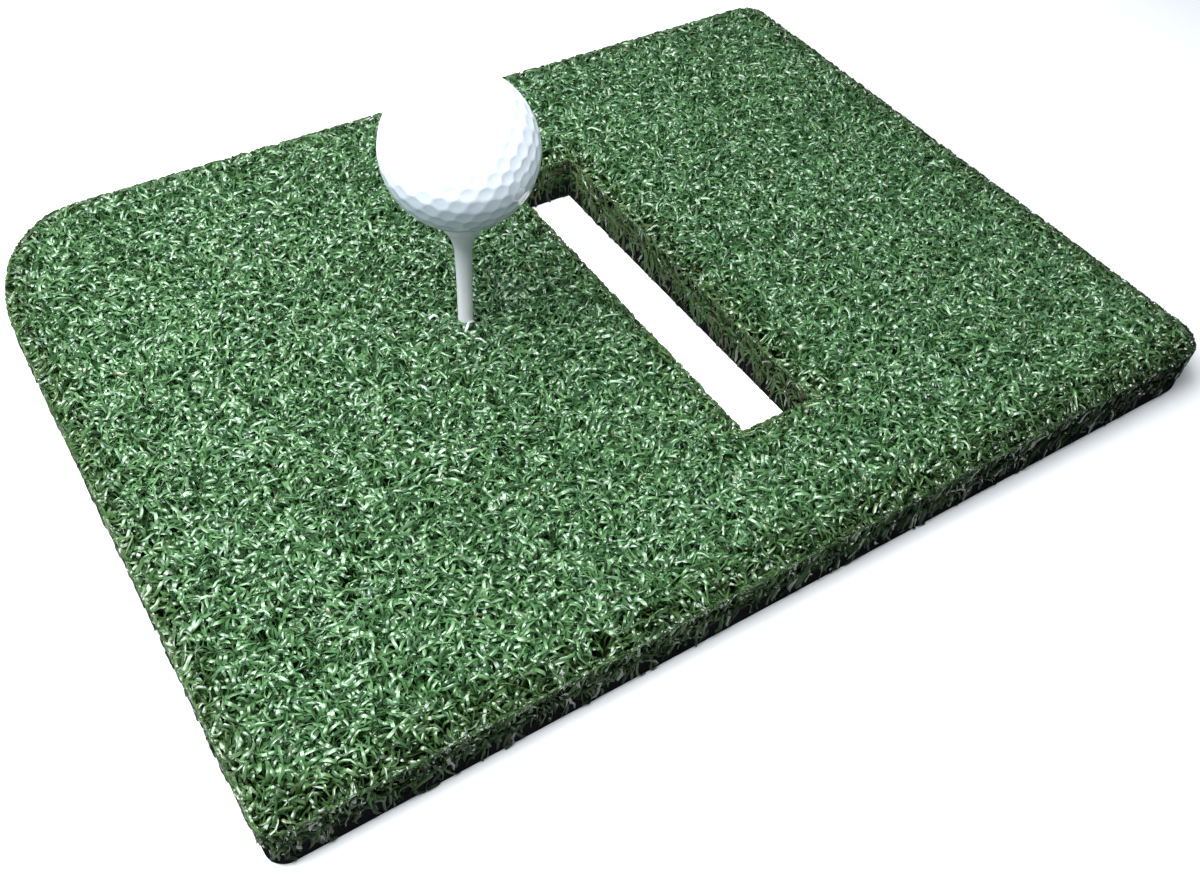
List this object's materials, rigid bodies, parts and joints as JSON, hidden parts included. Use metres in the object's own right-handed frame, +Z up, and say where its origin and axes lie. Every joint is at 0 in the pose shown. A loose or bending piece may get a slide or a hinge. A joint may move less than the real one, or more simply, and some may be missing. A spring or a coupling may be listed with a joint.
{
  "type": "golf hitting mat",
  "caption": "Rectangular artificial turf practice mat on a black rubber base, with a long through slot and a golf ball standing on a tee in the pile.",
  "frame": {"origin": "centre of the mat's underside, on the floor", "axes": "+X along the mat's length, towards the side with the slot; +Y along its depth, towards the far side; +Z up"},
  "size_m": [0.305, 0.23, 0.0981],
  "materials": {
    "rubber_base": "matte",
    "latex_coat": "matte",
    "primary_backing": "matte",
    "turf_pile": "satin",
    "tee": "satin",
    "ball_cover": "gloss",
    "ball_mantle": "satin",
    "ball_core": "matte"
  },
  "bodies": {
    "mat": {"rubber_base": "rubber_base", "latex_coat": "latex_coat", "primary_backing": "primary_backing", "turf_pile": "turf_pile"},
    "tee": {"tee": "tee"},
    "ball": {"ball_cover": "ball_cover", "ball_mantle": "ball_mantle", "ball_core": "ball_core"}
  },
  "joints": [
    {"name": "tee_depth", "type": "slide", "parent": "mat", "child": "tee", "axis": [0, 0, 1], "range_m": [-0.0019, 0.0105]},
    {"name": "ball_lift", "type": "slide", "parent": "tee", "child": "ball", "axis": [0, 0, 1], "range_m": [0, 0.04]}
  ]
}
